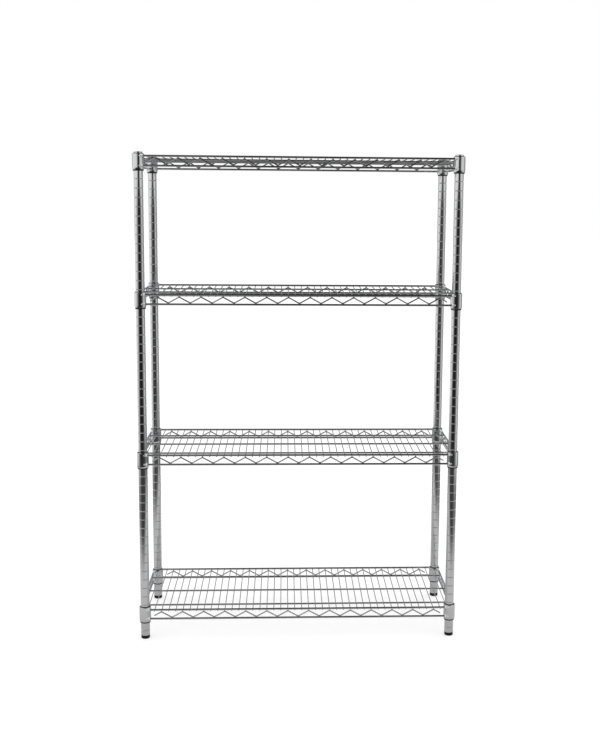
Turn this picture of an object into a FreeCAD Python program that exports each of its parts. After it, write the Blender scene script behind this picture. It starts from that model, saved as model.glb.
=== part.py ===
# A free-standing chrome wire shelving unit: four grooved posts on levelling feet carry four welded wire
# shelves. At each corner a shelf's tapered collar wedges down over a split sleeve whose bead sits in a
# groove of the post. The origin is on the floor at the middle of the four posts, +X to the right,
# +Y to the rear, +Z up. Lengths are in millimetres.
import FreeCAD, Part
import math
import os
import Sketcher

doc = FreeCAD.newDocument("WireShelvingUnit")

# Driving sizes: name, value, meaning
driving_sizes = [
    ("post_pitch_x", 888, "post axis to post axis, left to right"),
    ("post_pitch_y", 324, "post axis to post axis, front to rear"),
    ("post_diameter", 25.4, "outside of the post tube"),
    ("post_wall", 1.5, "post tube wall"),
    ("post_length", 1380, "post tube, end to end"),
    ("groove_pitch", 25.4, "groove to groove along a post"),
    ("groove_start", 15.9, "lowest groove above the lower end of the post"),
    ("groove_margin", 12, "least plain length above the top groove"),
    ("groove_radius", 1.5, "round section of a groove"),
    ("groove_depth", 0.9, "depth of a groove"),
    ("cap_height", 6.2, "post cap above the tube"),
    ("cap_rim", 5.4, "straight rim of a post cap under its dome"),
    ("cap_inset", 1.2, "rim of a post cap inside the outside of the tube"),
    ("cap_round", 0.6, "rounding between the rim and the dome of a post cap"),
    ("cap_plug_length", 12, "plug of a post cap inside the tube"),
    ("plug_clearance", 0.1, "radial gap of caps and inserts in the tube"),
    ("insert_flange", 2, "flange of a foot insert under the tube"),
    ("insert_length", 20, "threaded insert inside the tube"),
    ("pad_height", 7.8, "levelling pad"),
    ("pad_diameter", 25, "levelling pad, widest"),
    ("pad_floor", 2.8, "solid floor of a pad under its stud"),
    ("pad_bevel", 1.2, "bevel round the lower edge of a pad"),
    ("pad_gap", 0.2, "pad to insert flange, foot screwed right in"),
    ("stud_diameter", 10, "levelling stud"),
    ("stud_length", 30, "levelling stud"),
    ("stud_clearance", 0.1, "radial gap round a stud"),
    ("bottom_groove", 2, "groove that carries the bottom shelf, counted up from 0"),
    ("lower_groove", 20, "groove that carries the lower shelf"),
    ("upper_groove", 38, "groove that carries the upper shelf"),
    ("bead_drop", 11.6, "groove below the axis of the upper long rails"),
    ("bead_clearance", 0.2, "gap round a sleeve bead in its groove"),
    ("sleeve_clearance", 0.1, "radial gap of a sleeve on the post"),
    ("sleeve_wall", 1.1, "sleeve wall at its upper end"),
    ("sleeve_taper", 1.1, "gain in outer radius from the sleeve's upper to its lower end"),
    ("sleeve_show", 3.5, "sleeve below its collar"),
    ("sleeve_rise", 1.6, "sleeve above its collar"),
    ("sleeve_split", 6, "angle left open between the halves of a sleeve, both sides together, degrees"),
    ("collar_clearance", 0.2, "radial gap between collar and sleeve"),
    ("collar_wall", 1.4, "collar wall just above its drawn-in lower end"),
    ("collar_lip", 0.4, "collar wall at the drawn-in lower end"),
    ("collar_draw", 5, "height of the collar's drawn-in lower end"),
    ("collar_rise", 6.5, "collar's upper end above the axis of the upper long rails"),
    ("collar_height", 43.5, "collar, end to end"),
    ("collar_round", 1.2, "rounding of the collar's upper outer edge"),
    ("rail_diameter", 5.8, "long and side rails"),
    ("rail_drop", 26.5, "upper to lower long rail, axis to axis"),
    ("rail_set_in", 3.5, "rail axis inside the collar's outer face"),
    ("rail_end", 9.5, "rail end to the post axis, along the rail"),
    ("wire_diameter", 2.6, "deck wires"),
    ("wire_pitch", 20.3, "deck wire to deck wire"),
    ("wire_overhang", 2, "deck wire past the axis of the long rails"),
    ("wire_margin", 20, "least distance of a full deck wire from the post axis"),
    ("end_wire_overhang", 12, "end deck wire past the axis of the outer runners"),
    ("runner_diameter", 5, "runners under the deck wires"),
    ("runner_pitch", 117, "runner to runner, front to rear"),
    ("runner_overhang", 1.2, "runner past the axis of the side rails"),
    ("zigzag_diameter", 4, "zigzag wires"),
    ("zigzag_bend", 4.5, "bend radius of a zigzag wire on its axis"),
    ("zigzag_end", 28, "cut end of a zigzag wire to the post axis"),
    ("weld_sink", 0.4, "depth that welded wires sink into each other"),
]
sheet = doc.addObject("Spreadsheet::Sheet", "Sizes")
for row, (alias, size, meaning) in enumerate(driving_sizes, start=1):
    sheet.set("A%d" % row, alias)
    sheet.set("B%d" % row, str(size))
    sheet.setAlias("B%d" % row, alias)
    sheet.set("C%d" % row, meaning)
doc.recompute()

# Counts and angles that the make-up of the unit fixes
deck_wires_per_zigzag = 3
zigzags_per_runner = 2
full_turn = 360
half_turn = 180

# The share of the collar wall that the rounding of its edge may take
rounding_share = 0.9
# Lengths closer than this are the same
tolerance = 1e-6

# Worked-out sizes, each an expression over the driving sizes
half_x = "(Sizes.post_pitch_x / 2)"
half_y = "(Sizes.post_pitch_y / 2)"
post_radius = "(Sizes.post_diameter / 2)"
post_bore = "(%s - Sizes.post_wall)" % post_radius
plug_radius = "(%s - Sizes.plug_clearance)" % post_bore
cap_radius = "(%s - Sizes.cap_inset)" % post_radius
post_foot = "(Sizes.pad_height + Sizes.pad_gap + Sizes.insert_flange)"
post_top = "(%s + Sizes.post_length)" % post_foot
top_groove = (
    "floor((Sizes.post_length - Sizes.groove_start - Sizes.groove_margin) / Sizes.groove_pitch)"
)
groove_lip = "sqrt(Sizes.groove_radius ^ 2 - (Sizes.groove_radius - Sizes.groove_depth) ^ 2)"
stud_bore = "(Sizes.stud_diameter / 2 + Sizes.stud_clearance)"

collar_top = "Sizes.collar_rise"
collar_foot = "(Sizes.collar_rise - Sizes.collar_height)"
sleeve_top = "(Sizes.collar_rise + Sizes.sleeve_rise)"
sleeve_foot = "(%s - Sizes.sleeve_show)" % collar_foot
sleeve_slope = "(Sizes.sleeve_taper / (%s - %s))" % (sleeve_top, sleeve_foot)
sleeve_bore = "(%s + Sizes.sleeve_clearance)" % post_radius
sleeve_radius_top = "(%s + Sizes.sleeve_wall)" % sleeve_bore
sleeve_radius_foot = "(%s + Sizes.sleeve_taper)" % sleeve_radius_top
sleeve_at_collar_top = "(%s + %s * Sizes.sleeve_rise)" % (sleeve_radius_top, sleeve_slope)
sleeve_at_collar_foot = "(%s - %s * Sizes.sleeve_show)" % (sleeve_radius_foot, sleeve_slope)
collar_bore_top = "(%s + Sizes.collar_clearance)" % sleeve_at_collar_top
collar_bore_foot = "(%s + Sizes.collar_clearance)" % sleeve_at_collar_foot
collar_radius = "(%s + Sizes.collar_wall)" % collar_bore_foot
collar_lip_radius = "(%s + Sizes.collar_lip)" % collar_bore_foot

rail_radius = "(Sizes.rail_diameter / 2)"
wire_radius = "(Sizes.wire_diameter / 2)"
runner_radius = "(Sizes.runner_diameter / 2)"
zigzag_radius = "(Sizes.zigzag_diameter / 2)"
rail_offset = "(%s - Sizes.rail_set_in)" % collar_radius
rail_x = "(%s + %s)" % (half_x, rail_offset)
rail_y = "(%s + %s)" % (half_y, rail_offset)
wire_z = "(Sizes.weld_sink - %s - %s)" % (rail_radius, wire_radius)
runner_z = "(%s - %s - %s + Sizes.weld_sink)" % (wire_z, wire_radius, runner_radius)
side_rail_z = "(%s + %s + %s - Sizes.weld_sink)" % (runner_z, runner_radius, rail_radius)
lower_rail_z = "(-Sizes.rail_drop)"
zigzag_peak = "(%s - %s - %s + Sizes.weld_sink)" % (wire_z, wire_radius, zigzag_radius)
zigzag_valley = "(%s + %s + %s - Sizes.weld_sink)" % (lower_rail_z, rail_radius, zigzag_radius)

up = FreeCAD.Vector(0, 0, 1)
sub_parts = []


def value(expression):
    return float(sheet.evalExpression(expression))


def negative(expression):
    return "(-%s)" % expression


def sketch_point(x, y):
    return FreeCAD.Vector(value(x), value(y), 0)


def new_body(label):
    body = doc.addObject("PartDesign::Body", label)
    body.Label = label
    body.AllowCompound = True
    sub_parts.append(body)
    return body


def copy_of(source, label, turn=0):
    # A body of its own with the same shape, turned about the upright axis
    body = new_body(label)
    body.BaseFeature = source
    body.Placement = FreeCAD.Placement(FreeCAD.Vector(), FreeCAD.Rotation(up, turn))
    return body


def origin_feature(body, role):
    return next(feature for feature in body.Origin.OriginFeatures if feature.Role == role)


def place(item, x="0", y="0", z="0"):
    item.setExpression("Placement.Base.x", x)
    item.setExpression("Placement.Base.y", y)
    item.setExpression("Placement.Base.z", z)


def new_sketch(body, name, plane, offset=("0", "0", "0")):
    sketch = body.newObject("Sketcher::SketchObject", name)
    sketch.AttachmentSupport = [(origin_feature(body, plane), "")]
    sketch.MapMode = "FlatFace"
    for axis, expression in zip("xyz", offset):
        sketch.setExpression("AttachmentOffset.Base." + axis, expression)
    return sketch


def dimension(sketch, name, constraint, expression):
    index = sketch.addConstraint(constraint)
    sketch.renameConstraint(index, name)
    sketch.setExpression("Constraints." + name, expression)


def pin(sketch, name, geometry, end, x, y):
    # Dimension a point from the sketch's origin
    dimension(sketch, name + "_x", Sketcher.Constraint("DistanceX", -1, 1, geometry, end, value(x)), x)
    dimension(sketch, name + "_y", Sketcher.Constraint("DistanceY", -1, 1, geometry, end, value(y)), y)


def add_circle(sketch, name, x, y, diameter):
    circle = sketch.addGeometry(Part.Circle(sketch_point(x, y), up, value(diameter) / 2))
    pin(sketch, name, circle, 3, x, y)
    dimension(sketch, name + "_d", Sketcher.Constraint("Diameter", circle, value(diameter)), diameter)


def add_chain(sketch, name, corners):
    # Straight lines from corner to corner
    points = [sketch_point(x, y) for x, y in corners]
    lines = [sketch.addGeometry(Part.LineSegment(a, b)) for a, b in zip(points, points[1:])]
    for line, next_line in zip(lines, lines[1:]):
        sketch.addConstraint(Sketcher.Constraint("Coincident", line, 2, next_line, 1))
    ends = [(line, 1) for line in lines] + [(lines[-1], 2)]
    for index, ((line, end), (x, y)) in enumerate(zip(ends, corners)):
        pin(sketch, "%s_%d" % (name, index), line, end, x, y)
    return lines


def add_polygon(sketch, name, corners):
    lines = add_chain(sketch, name, corners)
    closing = sketch.addGeometry(Part.LineSegment(sketch_point(*corners[-1]), sketch_point(*corners[0])))
    sketch.addConstraint(Sketcher.Constraint("Coincident", lines[-1], 2, closing, 1))
    sketch.addConstraint(Sketcher.Constraint("Coincident", closing, 2, lines[0], 1))


def revolve(body, name, sketch):
    feature = body.newObject("PartDesign::Revolution", name)
    feature.Profile = sketch
    feature.ReferenceAxis = (sketch, ["V_Axis"])
    feature.Angle = full_turn
    return feature


def pad_both_ways(body, name, sketch, length):
    pad = body.newObject("PartDesign::Pad", name)
    pad.Profile = sketch
    pad.SideType = "Symmetric"
    pad.setExpression("Length", length)
    return pad


def cut_through(body, name, sketch):
    pocket = body.newObject("PartDesign::Pocket", name)
    pocket.Profile = sketch
    pocket.SideType = "Symmetric"
    pocket.Type = "ThroughAll"


def repeat(body, name, feature, axis, length, count):
    pattern = body.newObject("PartDesign::LinearPattern", name)
    pattern.Originals = [feature]
    pattern.Direction = (origin_feature(body, axis), [""])
    pattern.setExpression("Length", length)
    pattern.setExpression("Occurrences", count)
    body.Tip = pattern
    return pattern


def pair_up(pattern, body, axis, length):
    # Give a pattern a second row, parallel to the first
    pattern.Direction2 = (origin_feature(body, axis), [""])
    pattern.setExpression("Length2", length)
    pattern.Occurrences2 = 2


def repeat_whole(pattern, feature):
    # Repeat all that the body holds up to a feature, not the feature alone
    pattern.TransformMode = "Whole shape"
    pattern.Originals = []
    pattern.BaseFeature = feature


def repeat_at_posts(body, feature):
    pattern = repeat(body, "FourPosts", feature, "X_Axis", "Sizes.post_pitch_x", "2")
    pair_up(pattern, body, "Y_Axis", "Sizes.post_pitch_y")
    repeat_whole(pattern, feature)


def repeat_to_rear(body, feature):
    pattern = repeat(body, "FrontAndRear", feature, "Y_Axis", "Sizes.post_pitch_y", "2")
    repeat_whole(pattern, feature)


def post_shape():
    # The tube's section, revolved: up the grooved outside, over the top and down the bore
    outside = value(post_radius)
    bore = value(post_bore)
    length = value("Sizes.post_length")
    lip = value(groove_lip)
    bottom = outside - value("Sizes.groove_depth")
    edges = []
    here = FreeCAD.Vector(outside, 0, 0)
    for groove in range(int(value(top_groove)) + 1):
        middle = value("Sizes.groove_start") + groove * value("Sizes.groove_pitch")
        lower = FreeCAD.Vector(outside, 0, middle - lip)
        deepest = FreeCAD.Vector(bottom, 0, middle)
        upper = FreeCAD.Vector(outside, 0, middle + lip)
        edges.append(Part.LineSegment(here, lower).toShape())
        edges.append(Part.Arc(lower, deepest, upper).toShape())
        here = upper
    rest = [here]
    for r, z in ((outside, length), (bore, length), (bore, 0), (outside, 0)):
        rest.append(FreeCAD.Vector(r, 0, z))
    for a, b in zip(rest, rest[1:]):
        edges.append(Part.LineSegment(a, b).toShape())
    section = Part.Face(Part.Wire(edges))
    return section.revolve(FreeCAD.Vector(), up, full_turn)


def make_posts(corners):
    # Grooves this close together are rolled into the tube's outline, not cut one by one
    shape = post_shape()
    for corner, x, y in corners:
        post = doc.addObject("Part::Feature", "post_" + corner)
        post.Label = "post_" + corner
        post.Shape = shape
        place(post, x, y, post_foot)
        sub_parts.append(post)


def make_caps(label):
    # A low dome on a straight rim on the upper end of each post, with a plug inside the bore
    body = new_body(label)
    section = new_sketch(body, "Section", "XZ_Plane", (negative(half_x), "0", half_y))
    crown = ("0", "Sizes.cap_height")
    rim = (cap_radius, "Sizes.cap_rim")
    plug_end = "(-Sizes.cap_plug_length)"
    below = [crown, ("0", plug_end), (plug_radius, plug_end), (plug_radius, "0"), (cap_radius, "0"), rim]
    lines = add_chain(section, "cap", below)
    rise = value("Sizes.cap_height - Sizes.cap_rim")
    dome_radius = (value(cap_radius) ** 2 + rise ** 2) / (2 * rise)
    centre = FreeCAD.Vector(0, value("Sizes.cap_height") - dome_radius, 0)
    circle = Part.Circle(centre, up, dome_radius)
    start = circle.parameter(sketch_point(*rim))
    finish = circle.parameter(sketch_point(*crown))
    dome = section.addGeometry(Part.ArcOfCircle(circle, start, finish))
    section.addConstraint(Sketcher.Constraint("Coincident", dome, 1, lines[-1], 2))
    section.addConstraint(Sketcher.Constraint("Coincident", dome, 2, lines[0], 1))
    section.addConstraint(Sketcher.Constraint("PointOnObject", dome, 3, -2))
    cap = revolve(body, "Cap", section)
    doc.recompute()
    rounding = body.newObject("PartDesign::Fillet", "Rounding")
    rounding.Base = (cap, round_edges(cap.Shape, value(cap_radius), value("Sizes.cap_rim")))
    rounding.setExpression("Radius", "Sizes.cap_round")
    repeat_at_posts(body, rounding)
    place(body, z=post_top)


def make_foot_inserts(label):
    # A flanged and threaded plug in the lower end of each post
    body = new_body(label)
    section = new_sketch(body, "Section", "XZ_Plane", (negative(half_x), "0", half_y))
    plug_end = "(Sizes.insert_flange + Sizes.insert_length)"
    corners = [
        (stud_bore, "0"),
        (post_radius, "0"),
        (post_radius, "Sizes.insert_flange"),
        (plug_radius, "Sizes.insert_flange"),
        (plug_radius, plug_end),
        (stud_bore, plug_end),
    ]
    add_polygon(section, "insert", corners)
    insert = revolve(body, "Insert", section)
    repeat_at_posts(body, insert)
    place(body, z="(Sizes.pad_height + Sizes.pad_gap)")


def make_stud(label):
    # The round stud of a levelling foot
    body = new_body(label)
    section = new_sketch(body, "Section", "XY_Plane")
    add_circle(section, "stud", "0", "0", "Sizes.stud_diameter")
    stud = body.newObject("PartDesign::Pad", "Stud")
    stud.Profile = section
    stud.setExpression("Length", "Sizes.stud_length")
    return body


def make_pad(label):
    # The round pad of a levelling foot, bored from above for its stud and bevelled at the floor
    body = new_body(label)
    section = new_sketch(body, "Section", "XZ_Plane")
    pad_radius = "(Sizes.pad_diameter / 2)"
    corners = [
        ("0", "0"),
        ("(%s - Sizes.pad_bevel)" % pad_radius, "0"),
        (pad_radius, "Sizes.pad_bevel"),
        (pad_radius, "Sizes.pad_height"),
        (stud_bore, "Sizes.pad_height"),
        (stud_bore, "Sizes.pad_floor"),
        ("0", "Sizes.pad_floor"),
    ]
    add_polygon(section, "pad", corners)
    revolve(body, "Pad", section)
    return body


def make_left_sleeves(label):
    # The two halves of the split sleeve at each left post, tapered outside and with a bead in the groove
    body = new_body(label)
    section = new_sketch(body, "Section", "YZ_Plane", (negative(half_y), "0", negative(half_x)))
    bead_z = "(-Sizes.bead_drop)"
    bead_half = "(%s - Sizes.bead_clearance)" % groove_lip
    bead_tip = "(%s - Sizes.groove_depth + Sizes.bead_clearance)" % post_radius
    corners = [
        (sleeve_bore, sleeve_foot),
        (sleeve_radius_foot, sleeve_foot),
        (sleeve_radius_top, sleeve_top),
        (sleeve_bore, sleeve_top),
        (sleeve_bore, "(%s + %s)" % (bead_z, bead_half)),
        (bead_tip, bead_z),
        (sleeve_bore, "(%s - %s)" % (bead_z, bead_half)),
    ]
    add_polygon(section, "sleeve", corners)
    half = revolve(body, "Half", section)
    half.Midplane = True
    half.setExpression("Angle", "%d - Sizes.sleeve_split / 2" % half_turn)
    pair = body.newObject("PartDesign::PolarPattern", "Halves")
    pair.Originals = [half]
    pair.Axis = (section, ["V_Axis"])
    pair.Angle = full_turn
    pair.Occurrences = 2
    body.Tip = pair
    repeat_to_rear(body, pair)
    return body


def make_left_collars(label):
    # The collars at the left posts, bored to the sleeves' taper, drawn in below and rounded above
    body = new_body(label)
    section = new_sketch(body, "Section", "XZ_Plane", (negative(half_x), "0", half_y))
    draw_end = "(%s + Sizes.collar_draw)" % collar_foot
    corners = [
        (collar_radius, draw_end),
        (collar_radius, collar_top),
        (collar_bore_top, collar_top),
        (collar_bore_foot, collar_foot),
        (collar_lip_radius, collar_foot),
    ]
    lines = add_chain(section, "collar", corners)
    inward = value(collar_radius) - value(collar_lip_radius)
    draw = value("Sizes.collar_draw")
    draw_radius = (draw ** 2 + inward ** 2) / (2 * inward)
    centre = FreeCAD.Vector(value(collar_radius) - draw_radius, value(draw_end), 0)
    circle = Part.Circle(centre, up, draw_radius)
    drawn = section.addGeometry(Part.ArcOfCircle(circle, -math.asin(draw / draw_radius), 0))
    section.addConstraint(Sketcher.Constraint("Coincident", drawn, 1, lines[-1], 2))
    section.addConstraint(Sketcher.Constraint("Tangent", drawn, 2, lines[0], 1))
    collar = revolve(body, "Collar", section)
    doc.recompute()
    rounding = body.newObject("PartDesign::Fillet", "Rounding")
    rounding.Base = (collar, round_edges(collar.Shape, value(collar_radius), value(collar_top)))
    rounding.setExpression("Radius", "min(Sizes.collar_round; %s * Sizes.collar_wall)" % rounding_share)
    repeat_to_rear(body, rounding)
    return body


def round_edges(shape, radius, height):
    # The names of the circular edges of that radius at that height
    names = []
    for index, edge in enumerate(shape.Edges, start=1):
        if edge.Degenerated or not isinstance(edge.Curve, Part.Circle):
            continue
        if abs(edge.Curve.Radius - radius) < tolerance and abs(edge.Curve.Center.z - height) < tolerance:
            names.append("Edge%d" % index)
    return names


def make_long_rails(label):
    # Upper and lower rails at the front and the rear
    body = new_body(label)
    section = new_sketch(body, "Section", "YZ_Plane")
    for name, y in (("front", negative(rail_y)), ("rear", rail_y)):
        add_circle(section, name + "_upper", y, "0", "Sizes.rail_diameter")
        add_circle(section, name + "_lower", y, lower_rail_z, "Sizes.rail_diameter")
    pad_both_ways(body, "Rails", section, "Sizes.post_pitch_x - 2 * Sizes.rail_end")
    hollow_ends(body)
    return body


def make_side_rails(label):
    # Upper and lower rails at the left and the right. The upper ones lie on the runners.
    body = new_body(label)
    section = new_sketch(body, "Section", "XZ_Plane")
    for name, x in (("left", negative(rail_x)), ("right", rail_x)):
        add_circle(section, name + "_upper", x, side_rail_z, "Sizes.rail_diameter")
        add_circle(section, name + "_lower", x, lower_rail_z, "Sizes.rail_diameter")
    pad_both_ways(body, "Rails", section, "Sizes.post_pitch_y - 2 * Sizes.rail_end")
    hollow_ends(body)
    return body


def hollow_ends(body):
    # Hollow the rail ends so that they lie on the collars, half into the wall and clear of the bore
    section = new_sketch(body, "Hollows", "XY_Plane")
    across = "(%s + %s)" % (collar_bore_foot, collar_radius)
    for corner, x, y in corners_of_unit:
        add_circle(section, corner, x, y, across)
    cut_through(body, "HollowEnds", section)


def make_deck_wires(label):
    # Wires from front to rear, under the long rails, evenly spaced about the middle
    body = new_body(label)
    pairs = "floor((%s - Sizes.wire_margin) / Sizes.wire_pitch + 0.5)" % half_x
    section = new_sketch(body, "Section", "XZ_Plane")
    add_circle(section, "wire", "((0.5 - %s) * Sizes.wire_pitch)" % pairs, wire_z, "Sizes.wire_diameter")
    wire = pad_both_ways(body, "FirstWire", section, "2 * (%s + Sizes.wire_overhang)" % rail_y)
    repeat(body, "Deck", wire, "X_Axis", "(2 * %s - 1) * Sizes.wire_pitch" % pairs, "2 * %s" % pairs)
    # One more wire at each end is short, because the collars stand in its way: only the runners carry it
    end_x = "((0.5 + %s) * Sizes.wire_pitch)" % pairs
    ends = new_sketch(body, "EndSections", "XZ_Plane")
    for name, x in (("left", negative(end_x)), ("right", end_x)):
        add_circle(ends, name, x, wire_z, "Sizes.wire_diameter")
    pad_both_ways(body, "EndWires", ends, "2 * (Sizes.runner_pitch + Sizes.end_wire_overhang)")
    return body


def make_runners(label):
    # Wires from side to side that carry the deck wires
    body = new_body(label)
    section = new_sketch(body, "Section", "YZ_Plane")
    for name, y in (("front", "(-Sizes.runner_pitch)"), ("middle", "0"), ("rear", "Sizes.runner_pitch")):
        add_circle(section, name, y, runner_z, "Sizes.runner_diameter")
    pad_both_ways(body, "Runners", section, "2 * (%s + Sizes.runner_overhang)" % rail_x)
    return body


def add_wave(sketch, start, period):
    # One zigzag from valley to valley: a bend, the rise, the bend at the peak, the fall and a bend
    bend = "Sizes.zigzag_bend"
    low = "(%s + %s)" % (zigzag_valley, bend)
    high = "(%s - %s)" % (zigzag_peak, bend)
    centres = [
        (start, low),
        ("(%s + %s / 2)" % (start, period), high),
        ("(%s + %s)" % (start, period), low),
    ]
    # The rise touches the first two bend circles on opposite sides, which gives its angle.
    first, peak, last = [FreeCAD.Vector(value(x), value(y), 0) for x, y in centres]
    radius = value(bend)
    span = peak - first
    angle = math.atan2(span.y, span.x) + math.asin(2 * radius / span.Length)
    valley_turn = math.pi * 3 / 2
    peak_turn = math.pi / 2
    turns = [
        (first, valley_turn, valley_turn + angle),
        (peak, peak_turn - angle, peak_turn + angle),
        (last, valley_turn - angle, valley_turn),
    ]
    arcs = [
        sketch.addGeometry(Part.ArcOfCircle(Part.Circle(centre, up, radius), begin, finish))
        for centre, begin, finish in turns
    ]
    rise = sketch.addGeometry(Part.LineSegment(sketch.getPoint(arcs[0], 2), sketch.getPoint(arcs[1], 2)))
    fall = sketch.addGeometry(Part.LineSegment(sketch.getPoint(arcs[1], 1), sketch.getPoint(arcs[2], 1)))
    dimension(sketch, "bend", Sketcher.Constraint("Radius", arcs[0], radius), bend)
    for name, arc, (x, y) in zip(("first", "peak", "last"), arcs, centres):
        pin(sketch, name, arc, 3, x, y)
    for constraint in (
        Sketcher.Constraint("Equal", arcs[0], arcs[1]),
        Sketcher.Constraint("Equal", arcs[0], arcs[2]),
        Sketcher.Constraint("Tangent", arcs[0], 2, rise, 1),
        Sketcher.Constraint("Tangent", rise, 2, arcs[1], 2),
        Sketcher.Constraint("Tangent", arcs[1], 1, fall, 1),
        Sketcher.Constraint("Tangent", fall, 2, arcs[2], 1),
        Sketcher.Constraint("Vertical", arcs[0], 1, arcs[0], 3),
        Sketcher.Constraint("Vertical", arcs[2], 2, arcs[2], 3),
    ):
        sketch.addConstraint(constraint)


def sweep_wave(body, section, wave):
    doc.recompute()
    pipe = body.newObject("PartDesign::AdditivePipe", "Wave")
    pipe.Profile = section
    pipe.Spine = (wave, ["Edge%d" % edge for edge in range(1, wave.GeometryCount + 1)])
    return pipe


def trim_ends(body, plane, half, period):
    # Cut both ends off short of the collars
    section = new_sketch(body, "EndCuts", plane)
    near = "(%s - Sizes.zigzag_end)" % half
    far = "(%s + %s)" % (half, period)
    for name, a, b in (("plus", near, far), ("minus", negative(far), negative(near))):
        add_polygon(section, name, [(a, lower_rail_z), (b, lower_rail_z), (b, "0"), (a, "0")])
    cut_through(body, "CutEnds", section)


def waves_per_half(half, period):
    return "ceil((%s - Sizes.zigzag_end) / %s)" % (half, period)


def make_front_zigzag(label):
    # A zigzag in the plane of the front rails, its peaks under every third deck wire
    body = new_body(label)
    period = "(%d * Sizes.wire_pitch)" % deck_wires_per_zigzag
    waves = waves_per_half(half_x, period)
    start = "(-%s * %s)" % (waves, period)
    wave = new_sketch(body, "Route", "XZ_Plane", ("0", "0", rail_y))
    add_wave(wave, start, period)
    section = new_sketch(body, "Section", "YZ_Plane", ("0", "0", start))
    add_circle(section, "wire", negative(rail_y), zigzag_valley, "Sizes.zigzag_diameter")
    pipe = sweep_wave(body, section, wave)
    repeat(body, "Waves", pipe, "X_Axis", "(2 * %s - 1) * %s" % (waves, period), "2 * %s" % waves)
    trim_ends(body, "XZ_Plane", half_x, period)
    return body


def make_side_zigzags(label):
    # A zigzag in the plane of the side rails, left and right, with a valley under each runner
    body = new_body(label)
    period = "(Sizes.runner_pitch / %d)" % zigzags_per_runner
    waves = waves_per_half(half_y, period)
    start = "(-%s * %s)" % (waves, period)
    wave = new_sketch(body, "Route", "YZ_Plane", ("0", "0", negative(rail_x)))
    add_wave(wave, start, period)
    section = new_sketch(body, "Section", "XZ_Plane", ("0", "0", negative(start)))
    add_circle(section, "wire", negative(rail_x), zigzag_valley, "Sizes.zigzag_diameter")
    pipe = sweep_wave(body, section, wave)
    length = "(2 * %s - 1) * %s" % (waves, period)
    pattern = repeat(body, "Waves", pipe, "Y_Axis", length, "2 * %s" % waves)
    pair_up(pattern, body, "X_Axis", "2 * %s" % rail_x)
    trim_ends(body, "YZ_Plane", half_y, period)
    return body


corners_of_unit = [
    ("front_left", negative(half_x), negative(half_y)),
    ("front_right", half_x, negative(half_y)),
    ("rear_left", negative(half_x), half_y),
    ("rear_right", half_x, half_y),
]
make_posts(corners_of_unit)
make_caps("caps")
make_foot_inserts("foot_inserts")

# One stud and one pad are made, and copied to the other posts
for piece, make, z in (("stud", make_stud, "Sizes.pad_floor"), ("pad", make_pad, "0")):
    first = None
    for corner, x, y in corners_of_unit:
        label = "%s_%s" % (piece, corner)
        body = copy_of(first, label) if first else make(label)
        first = first or body
        place(body, x, y, z)

# The bottom shelf is made, and copied to the other heights. A shelf's own origin is level with the axis
# of its upper long rails. The right collars and sleeves and the rear zigzag are their opposites turned
# half round.
shelf_pieces = [
    ("left_collars", make_left_collars),
    ("long_rails", make_long_rails),
    ("side_rails", make_side_rails),
    ("deck_wires", make_deck_wires),
    ("runners", make_runners),
    ("front_zigzag", make_front_zigzag),
    ("side_zigzags", make_side_zigzags),
    ("left_sleeves", make_left_sleeves),
]
turned_pieces = [
    ("right_collars", "left_collars"),
    ("right_sleeves", "left_sleeves"),
    ("rear_zigzag", "front_zigzag"),
]
shelves = [
    ("bottom_shelf", "Sizes.bottom_groove"),
    ("lower_shelf", "Sizes.lower_groove"),
    ("upper_shelf", "Sizes.upper_groove"),
    ("top_shelf", top_groove),
]
made = {}
for shelf, groove in shelves:
    height = "%s + Sizes.groove_start + %s * Sizes.groove_pitch + Sizes.bead_drop" % (post_foot, groove)
    for piece, make in shelf_pieces:
        label = "%s_%s" % (shelf, piece)
        body = copy_of(made[piece], label) if piece in made else make(label)
        made.setdefault(piece, body)
        place(body, z=height)
    for piece, opposite in turned_pieces:
        body = copy_of(made[opposite], "%s_%s" % (shelf, piece), turn=half_turn)
        place(body, z=height)
doc.recompute()

# Nothing is written unless every object is sound
for item in doc.Objects:
    if "Invalid" in item.State or "Error" in item.State:
        raise RuntimeError("%s is not sound: %s" % (item.Label, item.getStatusString()))
for item in sub_parts:
    if item.Shape.isNull() or not item.Shape.isValid():
        raise RuntimeError("%s has no sound shape" % item.Label)

os.makedirs("parts", exist_ok=True)
for item in sub_parts:
    item.Shape.exportStep("parts/%s.step" % item.Label)
    print("%s: %d solids, %.1f mm3" % (item.Label, len(item.Shape.Solids), item.Shape.Volume))
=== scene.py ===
import math

import bpy
from mathutils import Matrix, Vector


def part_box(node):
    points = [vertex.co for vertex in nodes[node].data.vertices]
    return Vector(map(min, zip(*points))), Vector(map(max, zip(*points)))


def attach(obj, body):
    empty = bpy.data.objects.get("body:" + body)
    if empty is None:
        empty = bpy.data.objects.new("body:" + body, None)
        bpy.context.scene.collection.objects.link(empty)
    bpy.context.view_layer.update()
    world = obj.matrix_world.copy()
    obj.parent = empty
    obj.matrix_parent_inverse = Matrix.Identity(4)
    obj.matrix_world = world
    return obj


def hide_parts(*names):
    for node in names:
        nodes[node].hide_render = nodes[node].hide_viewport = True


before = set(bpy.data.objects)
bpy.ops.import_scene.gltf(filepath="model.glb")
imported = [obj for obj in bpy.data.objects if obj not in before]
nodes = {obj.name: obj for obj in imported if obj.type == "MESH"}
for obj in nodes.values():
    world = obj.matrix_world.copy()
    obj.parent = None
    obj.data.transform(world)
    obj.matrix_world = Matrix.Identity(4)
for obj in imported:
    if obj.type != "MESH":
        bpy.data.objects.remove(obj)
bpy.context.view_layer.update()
bpy.ops.object.select_all(action="DESELECT")
print("frame loaded,", len(nodes), "CAD nodes")

mm = 0.001
mergeWithin = 1e-6  # metres: points closer than this become one
shelfNames = ["bottom_shelf", "lower_shelf", "upper_shelf", "top_shelf"]
cornerNames = ["front_left", "front_right", "rear_left", "rear_right"]

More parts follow.
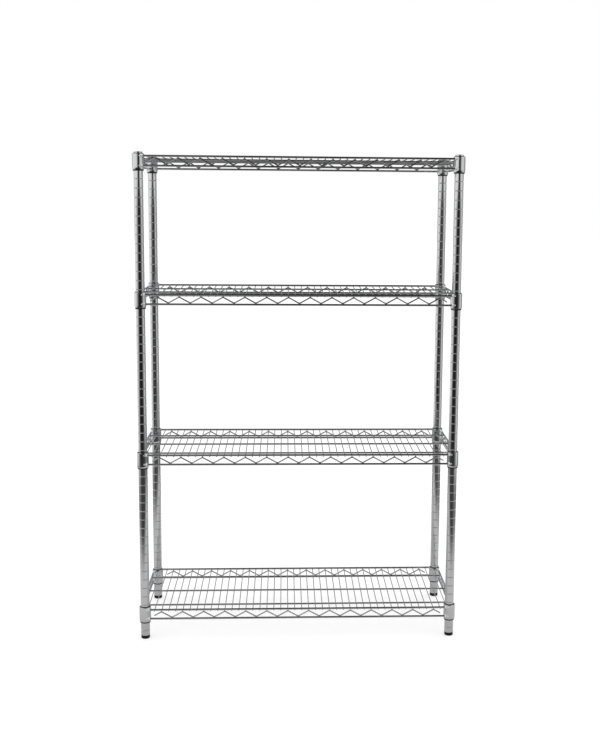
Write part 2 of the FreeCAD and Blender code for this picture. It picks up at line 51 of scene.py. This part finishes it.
# the wires of a shelf: heights are from the axis of its upper long rails
wireSizes = {
    "rail": 2.9 * mm,  # radius
    "deck": 1.3 * mm,  # radius
    "sink": 0.4 * mm,  # how deep welded wires sink into each other
    "lowerRail": -26.5 * mm,
}
railToDeck = -(wireSizes["rail"] - wireSizes["sink"] / 2)
deckAxis = wireSizes["sink"] - wireSizes["rail"] - wireSizes["deck"]
deckToRunner = deckAxis - wireSizes["deck"] + wireSizes["sink"] / 2
sideRailAxis = deckToRunner + wireSizes["rail"] - wireSizes["sink"] / 2
lowerRailTop = wireSizes["lowerRail"] + wireSizes["rail"] - wireSizes["sink"] / 2


def railHeight(shelf):
    # the axis of the upper long rails, from the top of their box
    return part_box(shelf + "_long_rails")[1].z - wireSizes["rail"]


# places read off the frame: post axes, rail axes and the collars' outer face, at the right rear
postLow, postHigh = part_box("post_rear_right")
postX = (postLow.x + postHigh.x) / 2
postY = (postLow.y + postHigh.y) / 2
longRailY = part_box("bottom_shelf_long_rails")[1].y - wireSizes["rail"]
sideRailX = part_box("bottom_shelf_side_rails")[1].x - wireSizes["rail"]
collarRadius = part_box("bottom_shelf_right_collars")[1].x - postX
railIn = longRailY - postY  # rail axis from the post axis


# camera at the photograph's viewing angle, turns in radians
photoView = {
    "place": (-0.0445, -3.2364, 1.2728),
    "yaw": 0.04742,  # to the right
    "pitch": -0.13706,  # less than 0 looks down
    "roll": 0.0084,
    "lens": 52.632,
    "shift": (-0.04662, -0.03400),
}


def makeCamera(spec):
    data = bpy.data.cameras.new("photoCamera")
    data.lens = spec["lens"]
    data.shift_x, data.shift_y = spec["shift"]
    data.dof.use_dof = False
    camera = bpy.data.objects.new("photoCamera", data)
    bpy.context.scene.collection.objects.link(camera)
    yaw = spec["yaw"]
    pitch = spec["pitch"]
    roll = spec["roll"]
    ahead = Vector((math.sin(yaw) * math.cos(pitch), math.cos(yaw) * math.cos(pitch), math.sin(pitch)))
    across = Vector((math.cos(yaw), -math.sin(yaw), 0))
    upward = across.cross(ahead)
    right = math.cos(roll) * across + math.sin(roll) * upward
    top = math.cos(roll) * upward - math.sin(roll) * across
    facing = Matrix((right, top, -ahead)).transposed().to_4x4()
    camera.matrix_world = Matrix.Translation(spec["place"]) @ facing
    bpy.context.scene.camera = camera


makeCamera(photoView)
print("camera set")


class Sock:
    # a value in a material: sums and products of it add Math nodes
    def __init__(self, tree, socket=None):
        self.tree = tree
        self.socket = socket

    def node(self, kind, settings=None, sockets=None, out=0):
        made = self.tree.nodes.new("ShaderNode" + kind)
        for name, setting in (settings or {}).items():
            if name == "stops":
                ramp = made.color_ramp
                while len(ramp.elements) < len(setting):
                    ramp.elements.new(1)
                for stop, (place, tone) in zip(ramp.elements, setting):
                    stop.position = place
                    stop.color = (tone, tone, tone, 1)
            else:
                setattr(made, name, setting)
        for name, given in (sockets or {}).items():
            if isinstance(given, Sock):
                self.tree.links.new(given.socket, made.inputs[name])
            else:
                made.inputs[name].default_value = given
        return Sock(self.tree, made.outputs[out] if made.outputs else None)

    def math(self, operation, first, second=0.0):
        return self.node("Math", {"operation": operation}, {0: first, 1: second})

    def __add__(self, other):
        return self.math("ADD", self, other)

    def __radd__(self, other):
        return self.math("ADD", other, self)

    def __sub__(self, other):
        return self.math("SUBTRACT", self, other)

    def __rsub__(self, other):
        return self.math("SUBTRACT", other, self)

    def __mul__(self, other):
        return self.math("MULTIPLY", self, other)

    def __rmul__(self, other):
        return self.math("MULTIPLY", other, self)

    def __truediv__(self, other):
        return self.math("DIVIDE", self, other)

    def clamped(self):
        return self.node("Clamp", None, {"Value": self})

    def step(self, low, high):
        # 0 below low, 1 above high, smooth between
        return self.node(
            "MapRange",
            {"interpolation_type": "SMOOTHSTEP"},
            {"Value": self, "From Min": low, "From Max": high},
        )

    def blend(self, first, second):
        # first where this value is 0, second where it is 1
        return self.node("Mix", {"data_type": "RGBA"}, {0: self, 6: first, 7: second}, out=2)


def newMaterial(name):
    material = bpy.data.materials.new(name)
    material.use_nodes = True
    tree = material.node_tree
    tree.nodes.clear()
    start = Sock(tree)
    place = start.node("TexCoord", None, None, out="Object")
    return material, start, place


def closeMaterial(start, shader):
    start.node("OutputMaterial", None, {"Surface": shader})


def noise(place, scale, detail, stretch=(1, 1, 1)):
    spread = place.node("Mapping", None, {"Vector": place, "Scale": stretch})
    return spread.node("TexNoise", None, {"Vector": spread, "Scale": scale, "Detail": detail})


def bumped(start, height, strength, distance):
    return start.node("Bump", None, {"Strength": strength, "Distance": distance, "Height": height})


# bright chrome plate on drawn steel
chromeSpec = {
    "bright": (0.78, 0.785, 0.795, 1),
    "hazed": (0.72, 0.725, 0.735, 1),
    "roughness": 0.025,
    "streakRoughness": 0.04,
    "hazeRoughness": 0.06,
    "recessRoughness": 0.65,
    "metallic": 1.0,
    "streakScale": 1400.0,
    "streakDetail": 2.0,
    "streakLength": 0.012,  # how slowly the drawing lines change along the wire
    "streakBump": 0.4,  # their height beside the ripples
    "cloudScale": 22.0,
    "cloudDetail": 3.0,
    "cloudStart": 0.52,  # where the clouds begin to haze the plate
    "cloudEnd": 0.72,
    "hazeShare": 0.45,
    "rippleScale": 160.0,
    "rippleDetail": 1.0,
    "bumpStrength": 0.06,
    "bumpDistance": 0.00012,
}


def chromeMaterial(name, along, recess=None, spec=chromeSpec):
    material, start, place = newMaterial(name)
    stretch = [1.0, 1.0, 1.0]
    stretch["XYZ".index(along)] = spec["streakLength"]
    streak = noise(place, spec["streakScale"], spec["streakDetail"], tuple(stretch))
    cloud = noise(place, spec["cloudScale"], spec["cloudDetail"]).step(spec["cloudStart"], spec["cloudEnd"])
    haze = cloud * spec["hazeShare"]
    colour = haze.blend(spec["bright"], spec["hazed"])
    roughness = spec["roughness"] + streak * spec["streakRoughness"] + haze * spec["hazeRoughness"]
    if recess is not None:
        roughness = roughness + recess(place) * spec["recessRoughness"]
    ripple = noise(place, spec["rippleScale"], spec["rippleDetail"], tuple(stretch))
    relief = streak * spec["streakBump"] + ripple
    bump = bumped(start, relief, spec["bumpStrength"], spec["bumpDistance"])
    shader = start.node(
        "BsdfPrincipled",
        None,
        {"Base Color": colour, "Metallic": spec["metallic"], "Roughness": roughness, "Normal": bump},
    )
    closeMaterial(start, shader)
    return material


# the rolled grooves of a post, from the floor up
grooveSpec = {"first": 25.9 * mm, "pitch": 25.4 * mm, "half": 1.6 * mm, "edge": 0.5 * mm}


def grooveRecess(place):
    # the plate is satin, not bright, in the rolled grooves of a post
    height = place.node("SeparateXYZ", None, {"Vector": place}, out="Z")
    offset = (height - grooveSpec["first"]) / grooveSpec["pitch"]
    nearest = offset - offset.math("ROUND", offset)
    away = nearest.math("ABSOLUTE", nearest) * grooveSpec["pitch"]
    return 1 - away.step(grooveSpec["half"] - grooveSpec["edge"], grooveSpec["half"])


# plated weld metal, rougher than the wires
weldSpec = {
    **chromeSpec,
    "bright": (0.74, 0.74, 0.75, 1),
    "hazed": (0.56, 0.555, 0.55, 1),
    "roughness": 0.22,
    "streakRoughness": 0.10,
    "hazeRoughness": 0.14,
    "streakScale": 900.0,
    "streakLength": 1.0,
    "cloudScale": 260.0,
    "bumpStrength": 0.35,
    "bumpDistance": 0.0003,
}

# moulded black plastic of the sleeves, pads and foot inserts
plasticSpec = {
    "dark": (0.006, 0.006, 0.007, 1),
    "scuffed": (0.022, 0.022, 0.024, 1),
    "gloss": 0.25,
    "roughness": 0.46,
    "grainRoughness": 0.16,
    "grainScale": 1500.0,
    "grainDetail": 3.0,
    "scuffScale": 90.0,
    "scuffDetail": 4.0,
    "scuffStart": 0.56,
    "scuffEnd": 0.78,
    "scuffShare": 0.7,
    "scuffRoughness": 0.12,
    "bumpStrength": 0.25,
    "bumpDistance": 0.0001,
}


def plasticMaterial(name, spec=plasticSpec):
    material, start, place = newMaterial(name)
    grain = noise(place, spec["grainScale"], spec["grainDetail"])
    scuff = noise(place, spec["scuffScale"], spec["scuffDetail"]).step(spec["scuffStart"], spec["scuffEnd"])
    colour = (scuff * spec["scuffShare"]).blend(spec["dark"], spec["scuffed"])
    roughness = spec["roughness"] + grain * spec["grainRoughness"] + scuff * spec["scuffRoughness"]
    shader = start.node(
        "BsdfPrincipled",
        None,
        {
            "Base Color": colour,
            "Roughness": roughness,
            "Specular IOR Level": spec["gloss"],
            "Normal": bumped(start, grain, spec["bumpStrength"], spec["bumpDistance"]),
        },
    )
    closeMaterial(start, shader)
    return material


# zinc-plated steel of the levelling studs
zincSpec = {
    "pale": (0.62, 0.63, 0.64, 1),
    "dull": (0.42, 0.42, 0.41, 1),
    "roughness": 0.28,
    "spangleScale": 420.0,
    "spangleRoughness": 0.2,
    "cloudScale": 160.0,
    "cloudDetail": 3.0,
    "cloudStart": 0.4,
    "cloudEnd": 0.7,
    "bumpStrength": 0.15,
    "bumpDistance": 0.0001,
}


def zincMaterial(name, spec=zincSpec):
    material, start, place = newMaterial(name)
    spangle = place.node("TexVoronoi", {"feature": "F1"}, {"Vector": place, "Scale": spec["spangleScale"]})
    cloud = noise(place, spec["cloudScale"], spec["cloudDetail"])
    colour = cloud.step(spec["cloudStart"], spec["cloudEnd"]).blend(spec["pale"], spec["dull"])
    shader = start.node(
        "BsdfPrincipled",
        None,
        {
            "Base Color": colour,
            "Metallic": 1.0,
            "Roughness": spec["roughness"] + spangle * spec["spangleRoughness"],
            "Normal": bumped(start, cloud, spec["bumpStrength"], spec["bumpDistance"]),
        },
    )
    closeMaterial(start, shader)
    return material


# the wires' plate is darker than the posts' plate: painted shade for how dark the thin wires look
wireShadedSpec = {**chromeSpec, "bright": (0.66, 0.665, 0.675, 1), "hazed": (0.60, 0.605, 0.615, 1)}
# near-white, barely metallic weld colour: a painted highlight that stands in for the glints on the rail-end
# welds
nuggetGlintSpec = {**weldSpec, "bright": (0.96, 0.96, 0.965, 1), "hazed": (0.9, 0.9, 0.905, 1), "metallic": 0.1}
finishes = {
    "post": chromeMaterial("chromedTube", "Z", grooveRecess),
    "lengthwise": chromeMaterial("chromedWireAlongX", "X", None, wireShadedSpec),
    "crosswise": chromeMaterial("chromedWireAlongY", "Y", None, wireShadedSpec),
    "collar": chromeMaterial("chromedCollar", "Z"),
    "cap": chromeMaterial("chromedCap", "Z", None, {**chromeSpec, "streakLength": 1.0, "bumpStrength": 0.03}),
    "weld": chromeMaterial("weldedMetal", "Z", None, weldSpec),
    "nugget": chromeMaterial("weldWithPaintedGlint", "Z", None, nuggetGlintSpec),
    "plastic": plasticMaterial("mouldedBlackPlastic"),
    "zinc": zincMaterial("zincPlatedSteel"),
}
finishOf = [
    ("post_", "post"),
    ("caps", "cap"),
    ("foot_inserts", "plastic"),
    ("pad_", "plastic"),
    ("stud_", "zinc"),
    ("_sleeves", "plastic"),
    ("_collars", "collar"),
    ("_long_rails", "lengthwise"),
    ("_runners", "lengthwise"),
    ("_front_zigzag", "lengthwise"),
    ("_rear_zigzag", "lengthwise"),
    ("_side_rails", "crosswise"),
    ("_side_zigzags", "crosswise"),
    ("_deck_wires", "crosswise"),
]


def dress(piece, finish):
    if not piece.material_slots:
        piece.data.materials.append(None)
    for slot in piece.material_slots:
        slot.material = finishes[finish]


for nodeName, cadNode in nodes.items():
    for mark, finish in finishOf:
        if mark in nodeName:
            dress(cadNode, finish)
            break
print("materials on all CAD nodes")


def only(piece):
    bpy.ops.object.select_all(action="DESELECT")
    piece.select_set(True)
    bpy.context.view_layer.objects.active = piece


def settle(piece):
    # the piece's place goes into its mesh
    only(piece)
    bpy.ops.object.transform_apply(location=True, rotation=True, scale=True)


def outward(piece):
    only(piece)
    bpy.ops.object.mode_set(mode="EDIT")
    bpy.ops.mesh.select_all(action="SELECT")
    bpy.ops.mesh.remove_doubles(threshold=mergeWithin)
    bpy.ops.mesh.normals_make_consistent(inside=False)
    bpy.ops.object.mode_set(mode="OBJECT")


def copyOf(piece, name):
    twin = piece.copy()
    twin.data = piece.data.copy()
    twin.name = name
    bpy.context.scene.collection.objects.link(twin)
    return twin


def joined(parts, name):
    bpy.ops.object.select_all(action="DESELECT")
    for part in parts:
        part.select_set(True)
    bpy.context.view_layer.objects.active = parts[0]
    bpy.ops.object.join()
    parts[0].name = name
    return parts[0]


def repeated(piece, step, count):
    only(piece)
    row = piece.modifiers.new("row", "ARRAY")
    row.use_relative_offset = False
    row.use_constant_offset = True
    row.constant_offset_displace = step
    row.count = count
    bpy.ops.object.modifier_apply(modifier=row.name)


def lump(segments, rings, size, place):
    # a ball stretched to its half sizes
    bpy.ops.object.select_all(action="DESELECT")
    bpy.ops.mesh.primitive_uv_sphere_add(segments=segments, ring_count=rings, radius=1.0, location=place)
    ball = bpy.context.object
    bpy.ops.object.mode_set(mode="EDIT")
    bpy.ops.mesh.select_all(action="SELECT")
    bpy.ops.transform.resize(value=size)
    bpy.ops.object.mode_set(mode="OBJECT")
    return ball


# squeezed-out metal where wires are welded across each other
wireWelds = {
    "segments": 8,
    "rings": 5,
    "crossing": (1.6 * mm, 1.9 * mm, 0.65 * mm),
    "bend": (2.4 * mm, 1.5 * mm, 0.8 * mm),
    "lobesX": (3, 0.12),  # how many, how strong
    "lobesY": (2, 0.10),
    "deckPitch": 20.3 * mm,
    "deckCount": 42,
    "endWires": 2,  # short ones, on the runners alone
    "bendPitch": 60.9 * mm,
    "bends": 13,  # low ones of a long zigzag, which has one more high one
    "runnerPitch": 117 * mm,
    "runners": 3,
    "sideBendPitch": 58.5 * mm,
    "sideBends": 5,  # low ones of a side zigzag, which has one high one fewer
}


def weldBead(size, place):
    spec = wireWelds
    bead = lump(spec["segments"], spec["rings"], size, place)
    # a weld spreads more on one side than the other
    lobesX, strengthX = spec["lobesX"]
    lobesY, strengthY = spec["lobesY"]
    for vertex in bead.data.vertices:
        vertex.co.x *= 1 + strengthX * math.sin(lobesX * math.atan2(vertex.co.y, vertex.co.x))
        vertex.co.y *= 1 + strengthY * math.cos(lobesY * math.atan2(vertex.co.y, vertex.co.x))
    bpy.ops.object.shade_smooth()
    settle(bead)
    return bead


def firstOf(count, pitch):
    # where a row of that many starts, with its middle at 0
    return -0.5 * (count - 1) * pitch


def beadField(size, height, rowX, rowY):
    countX, pitchX = rowX
    countY, pitchY = rowY
    bead = weldBead(size, (firstOf(countX, pitchX), firstOf(countY, pitchY), height))
    repeated(bead, (pitchX, 0, 0), countX)
    repeated(bead, (0, pitchY, 0), countY)
    return bead


def shelfWireWelds(name):
    spec = wireWelds
    deck = spec["deckPitch"]
    bend = spec["bendPitch"]
    sideBend = spec["sideBendPitch"]
    crossing = spec["crossing"]
    along = spec["bend"]
    turned = (along[1], along[0], along[2])
    bothRails = (2, 2 * longRailY)
    bothSides = (2, 2 * sideRailX)
    allRunners = (spec["runners"], spec["runnerPitch"])
    fields = [
        # deck wires under the long rails and on the runners
        (crossing, railToDeck, (spec["deckCount"], deck), bothRails),
        (crossing, deckToRunner, (spec["deckCount"] + spec["endWires"], deck), allRunners),
        # front and rear zigzags: on the lower rails and under the deck wires
        (along, lowerRailTop, (spec["bends"], bend), bothRails),
        (along, deckToRunner, (spec["bends"] + 1, bend), bothRails),
        # side zigzags: on the lower side rails and under the upper ones
        (turned, lowerRailTop, bothSides, (spec["sideBends"], sideBend)),
        (turned, deckToRunner, bothSides, (spec["sideBends"] - 1, sideBend)),
        # runner ends under the side rails
        (crossing, deckToRunner, bothSides, allRunners),
    ]
    return joined([beadField(*field) for field in fields], name)


# each rail end on a corner collar: a rounded nugget of weld with a fillet round it
cornerWelds = {
    "ring": 2.75 * mm,
    "bead": 0.45 * mm,
    "around": 18,
    "across": 6,
    "lumps": ((5, 0.10), (11, 0.06)),  # how many round the fillet, how strong
    "nugget": (4.2 * mm, 4.2 * mm, 4.2 * mm),
    "nuggetLobes": (3, 0.05),
    "nuggetOut": 2.0 * mm,  # middle of the nugget past the seam, along the rail
    "nuggetIn": 0.75 * mm,  # and behind the rail's axis
    "nuggetSink": 0.8 * mm,  # into the collar's wall
    "nuggetRings": 10,
    "longHeights": (0.0, wireSizes["lowerRail"]),
    "sideHeights": (sideRailAxis, wireSizes["lowerRail"]),
}


def seamAt(depth):
    # how far from the post axis the collar's face is met, along the rail
    return math.sqrt(max(collarRadius ** 2 - depth ** 2, 0))


def lumpy(angle):
    return 1 + sum(strength * math.sin(count * angle) for count, strength in cornerWelds["lumps"])


def filletRing():
    # round a rail that runs along X, its axis at the collar's rail line
    spec = cornerWelds
    bpy.ops.object.select_all(action="DESELECT")
    bpy.ops.mesh.primitive_torus_add(
        major_segments=spec["around"],
        minor_segments=spec["across"],
        major_radius=spec["ring"],
        minor_radius=spec["bead"],
        location=(0, 0, 0),
        rotation=(0, math.pi / 2, 0),
    )
    ring = bpy.context.object
    settle(ring)
    for vertex in ring.data.vertices:
        vertex.co.x *= lumpy(math.atan2(vertex.co.z, vertex.co.y))
        vertex.co.x += seamAt(railIn - vertex.co.y)
        vertex.co.y -= railIn
    bpy.ops.object.shade_smooth()
    return ring


def railNugget():
    spec = cornerWelds
    nugget = lump(spec["around"], spec["nuggetRings"], spec["nugget"], (0, 0, 0))
    lobes, strength = spec["nuggetLobes"]
    for vertex in nugget.data.vertices:
        vertex.co.x *= 1 + strength * math.sin(lobes * math.atan2(vertex.co.z, vertex.co.y))
    bpy.ops.object.shade_smooth()
    nugget.location = (seamAt(railIn) + spec["nuggetOut"], spec["nuggetIn"] - railIn, 0)
    settle(nugget)
    # the side against the collar follows its wall
    least = collarRadius - spec["nuggetSink"]
    for vertex in nugget.data.vertices:
        pushed = max(1.0, least / math.hypot(vertex.co.x, vertex.co.y))
        vertex.co.x *= pushed
        vertex.co.y *= pushed
    return nugget


def railEndWeld(height):
    # at the front left post, on a rail that runs along X from the collar
    weld = joined([filletRing(), railNugget()], "railEndWeld")
    weld.location = (-postX, -postY, height)
    settle(weld)
    return weld


def acrossCorner(weld):
    # the same weld on the other face of the corner, X and Y exchanged about the post axis
    for vertex in weld.data.vertices:
        fromX = vertex.co.x + postX
        fromY = vertex.co.y + postY
        vertex.co.x = fromY - postX
        vertex.co.y = fromX - postY


def shelfCornerWelds(name):
    spec = cornerWelds
    ends = []
    for height in spec["longHeights"]:
        ends.append(railEndWeld(height))
    for height in spec["sideHeights"]:
        end = railEndWeld(height)
        acrossCorner(end)
        ends.append(end)
    welds = joined(ends, name)
    only(welds)
    mirror = welds.modifiers.new("corners", "MIRROR")
    mirror.use_axis = (True, True, False)
    mirror.use_mirror_merge = False
    bpy.ops.object.modifier_apply(modifier=mirror.name)
    outward(welds)
    return welds


firstShelf = shelfNames[0]
weldKinds = [
    (shelfWireWelds, "_wire_welds", "weld"),
    # the corner welds take the weld colour with the painted highlight
    (shelfCornerWelds, "_corner_welds", "nugget"),
]
for makeWelds, ending, finish in weldKinds:
    welds = makeWelds(firstShelf + ending)
    weldSet = [welds] + [copyOf(welds, shelf + ending) for shelf in shelfNames[1:]]
    for shelf, piece in zip(shelfNames, weldSet):
        piece.location.z = railHeight(shelf)
        settle(piece)
        dress(piece, finish)
        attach(piece, shelf)
print("welds on", len(shelfNames), "shelves")

# threaded levelling studs
studSpec = {
    "radius": 4.98 * mm,
    "depth": 0.92 * mm,
    "pitch": 1.5 * mm,
    "around": 36,
    "rowsPerPitch": 8,
    "flank": 1.35,  # steepness of a thread's sides
    "rootFlat": 0.15,
    "chamfer": 1.2 * mm,
    "chamferSlope": 0.8,
    "sharpAngle": 40,  # degrees, past which an edge stays sharp
    "plain": 5.0 * mm,  # unthreaded length inside the pad
}


def threadedStud(name, low, high):
    spec = studSpec
    middle = (low + high) / 2
    length = high.z - low.z
    bpy.ops.object.select_all(action="DESELECT")
    bpy.ops.mesh.primitive_cylinder_add(
        vertices=spec["around"], radius=spec["radius"], depth=length, location=(0, 0, length / 2)
    )
    stud = bpy.context.object
    settle(stud)
    bpy.ops.object.mode_set(mode="EDIT")
    bpy.ops.mesh.select_mode(type="EDGE")
    bpy.ops.mesh.select_all(action="DESELECT")
    bpy.ops.object.mode_set(mode="OBJECT")
    for edge in stud.data.edges:
        ends = [stud.data.vertices[i].co.z for i in edge.vertices]
        edge.select = abs(ends[0] - ends[1]) > length / 2
    bpy.ops.object.mode_set(mode="EDIT")
    bpy.ops.mesh.subdivide(number_cuts=round(length / spec["pitch"] * spec["rowsPerPitch"]) - 1)
    bpy.ops.object.mode_set(mode="OBJECT")
    for vertex in stud.data.vertices:
        pitches = (vertex.co.z - spec["plain"]) / spec["pitch"]
        turns = pitches - math.atan2(vertex.co.y, vertex.co.x) / (2 * math.pi)
        share = abs(2 * (turns % 1) - 1)  # 1 at a crest, 0 at a root
        started = min(max(pitches, 0), 1)
        cut = spec["depth"] * started * (1 - min(max(spec["flank"] * share - spec["rootFlat"], 0), 1))
        toEnd = min(vertex.co.z, length - vertex.co.z)
        chamfer = max(spec["chamfer"] - toEnd, 0) * spec["chamferSlope"]
        scale = 1 - max(cut, chamfer) / spec["radius"]
        vertex.co.x *= scale
        vertex.co.y *= scale
    bpy.ops.object.shade_smooth_by_angle(angle=math.radians(spec["sharpAngle"]))
    stud.name = name
    stud.location = (middle.x, middle.y, low.z)
    settle(stud)
    return stud


for corner in cornerNames:
    low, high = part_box("stud_" + corner)
    stud = threadedStud("thread_" + corner, low, high)
    dress(stud, "zinc")
    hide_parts("stud_" + corner)
    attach(stud, "foot_stud_" + corner)
print("threaded studs in the feet")

# studio walls seen only in reflections: dark behind the camera, bright at the sides, brightest at the left
wallSpec = {
    "radius": 4.0,
    "height": 4.6,
    "sunk": 0.05,  # below the floor
    "sides": 96,
    "tones": [(-180, 0.3), (-140, 0.45), (-110, 0.9), (-80, 0.85), (-52, 0.55), (-34, 0.2), (-18, 0.03),
              (0, 0.015), (20, 0.02), (37, 0.1), (50, 0.25), (62, 0.45), (74, 0.75), (86, 0.6), (105, 0.33),
              (180, 0.3)],  # degrees from the front, to the right
    "leftEnd": -0.3,  # radians from the front: left of this the tones lean in full
    "leftFade": 0.2,  # and right of this not at all
    "leanLevel": 1.1,  # height at which those tones hold at the left
    "lean": 0.38,  # radians for each metre above or below it
    "narrow": 0.9,  # share that angles from the front grow by towards the top, so the dark part narrows
    "narrowStart": 1.16,
    "narrowEnd": 1.42,
    "frontEnd": 0.5,  # radians from the front that the narrowing holds for in full
    "frontFade": 1.4,  # and past which there is none
    "overheadStart": 2.2,
    "overheadEnd": 2.8,
    "overhead": 0.04,  # dark above the middle
    "overheadSides": 0.75,
    "sideStart": 1.4,
    "sideEnd": 2.8,
}


def roundAbout(parts, spec):
    # the walls' tone in the direction of a point, seen from the middle of the floor
    angle = parts[0].math("ARCTAN2", parts[0], 0 - parts[1])
    atLeft = 1 - angle.step(spec["leftEnd"], spec["leftFade"])
    leant = angle + atLeft * (spec["leanLevel"] - parts[2]) * spec["lean"]
    nearFront = 1 - leant.math("ABSOLUTE", leant).step(spec["frontEnd"], spec["frontFade"])
    raised = parts[2].step(spec["narrowStart"], spec["narrowEnd"])
    narrowed = leant * (1 + nearFront * raised * spec["narrow"])
    share = ((narrowed + math.pi) / (2 * math.pi)).clamped()
    stops = [((degrees + 180) / 360, tone) for degrees, tone in spec["tones"]]
    return share.node("ValToRGB", {"stops": stops}, {"Fac": share})


def makeWalls(spec):
    bpy.ops.object.select_all(action="DESELECT")
    bpy.ops.mesh.primitive_cylinder_add(
        vertices=spec["sides"],
        radius=spec["radius"],
        depth=spec["height"],
        location=(0, 0, spec["height"] / 2 - spec["sunk"]),
    )
    walls = bpy.context.object
    walls.name = "studioWalls"
    settle(walls)
    material, start, place = newMaterial("studioWalls")
    parts = [place.node("SeparateXYZ", None, {"Vector": place}, out=axis) for axis in "XYZ"]
    aside = parts[0].math("ABSOLUTE", parts[0]).step(spec["sideStart"], spec["sideEnd"])
    overhead = spec["overhead"] + aside * (spec["overheadSides"] - spec["overhead"])
    tone = parts[2].step(spec["overheadStart"], spec["overheadEnd"]).blend(roundAbout(parts, spec), overhead)
    closeMaterial(start, start.node("Emission", None, {"Color": tone}))
    walls.data.materials.append(material)
    walls.visible_camera = False
    walls.visible_diffuse = False
    walls.visible_shadow = False
    walls.visible_transmission = False


makeWalls(wallSpec)

# pale floor, white to the camera: reflections show paper near the unit, with painted shade under the unit,
# and a darker studio floor past it
floorSpec = {
    "size": 60.0,
    "pale": 0.6,
    "whitening": 0.52,
    "paper": 0.56,
    "paperEnd": 0.68,
    "paperWide": 0.7,  # its depth over its width
    "ringStart": 1.3,
    "ringEnd": 1.8,
    "wallStart": 2.9,
    "shade": 0.46,  # under the unit itself
    "shadeX": 0.46,
    "shadeY": 0.20,
    "shadeBlur": 0.25,
    "ringShare": 0.25,  # of the walls' tone
    "ringGlow": 0.05,
}


def makeFloor(spec):
    bpy.ops.object.select_all(action="DESELECT")
    bpy.ops.mesh.primitive_plane_add(size=spec["size"], location=(0, 0, 0))
    floor = bpy.context.object
    floor.name = "paleFloor"
    material, start, place = newMaterial("paleFloor")
    rays = start.node("LightPath", None, None, out="Is Camera Ray")
    parts = [place.node("SeparateXYZ", None, {"Vector": place}, out=axis) for axis in "XYZ"]
    away = place.node("VectorMath", {"operation": "LENGTH"}, {0: place}, out="Value")
    flat = place.node("VectorMath", {"operation": "MULTIPLY"}, {0: place, 1: (spec["paperWide"], 1, 1)})
    fromPaper = place.node("VectorMath", {"operation": "LENGTH"}, {0: flat}, out="Value")
    wall = roundAbout(parts, wallSpec)
    outside = away.step(spec["ringEnd"], spec["wallStart"])
    ringShare = spec["ringShare"] + (1 - spec["ringShare"]) * outside
    beyond = wall * ringShare + (1 - outside) * spec["ringGlow"]
    # painted shade on the floor under the unit, seen only in reflections
    besideX = parts[0].math("ABSOLUTE", parts[0]).step(spec["shadeX"], spec["shadeX"] + spec["shadeBlur"])
    besideY = parts[1].math("ABSOLUTE", parts[1]).step(spec["shadeY"], spec["shadeY"] + spec["shadeBlur"])
    under = (1 - besideX) * (1 - besideY)
    paper = spec["paper"] + under * (spec["shade"] - spec["paper"])
    shown = fromPaper.step(spec["paperEnd"], spec["ringStart"]).blend(paper, beyond)
    seen = start.node("BsdfDiffuse", None, {"Color": (spec["pale"],) * 3 + (1,)})
    lift = start.node("Emission", None, {"Color": (spec["whitening"],) * 3 + (1,)})
    inCamera = start.node("AddShader", None, {0: seen, 1: lift})
    mirrored = start.node("Emission", None, {"Color": shown})
    closeMaterial(start, start.node("MixShader", None, {0: rays, 1: mirrored, 2: inCamera}))
    floor.data.materials.append(material)


makeFloor(floorSpec)

world = bpy.data.worlds.new("whiteStudio")
world.use_nodes = True
world.node_tree.nodes["Background"].inputs["Color"].default_value = (1, 1, 1, 1)
world.node_tree.nodes["Background"].inputs["Strength"].default_value = 1.0
bpy.context.scene.world = world
bpy.context.scene.view_settings.view_transform = "Standard"
print("floor, walls and light set")
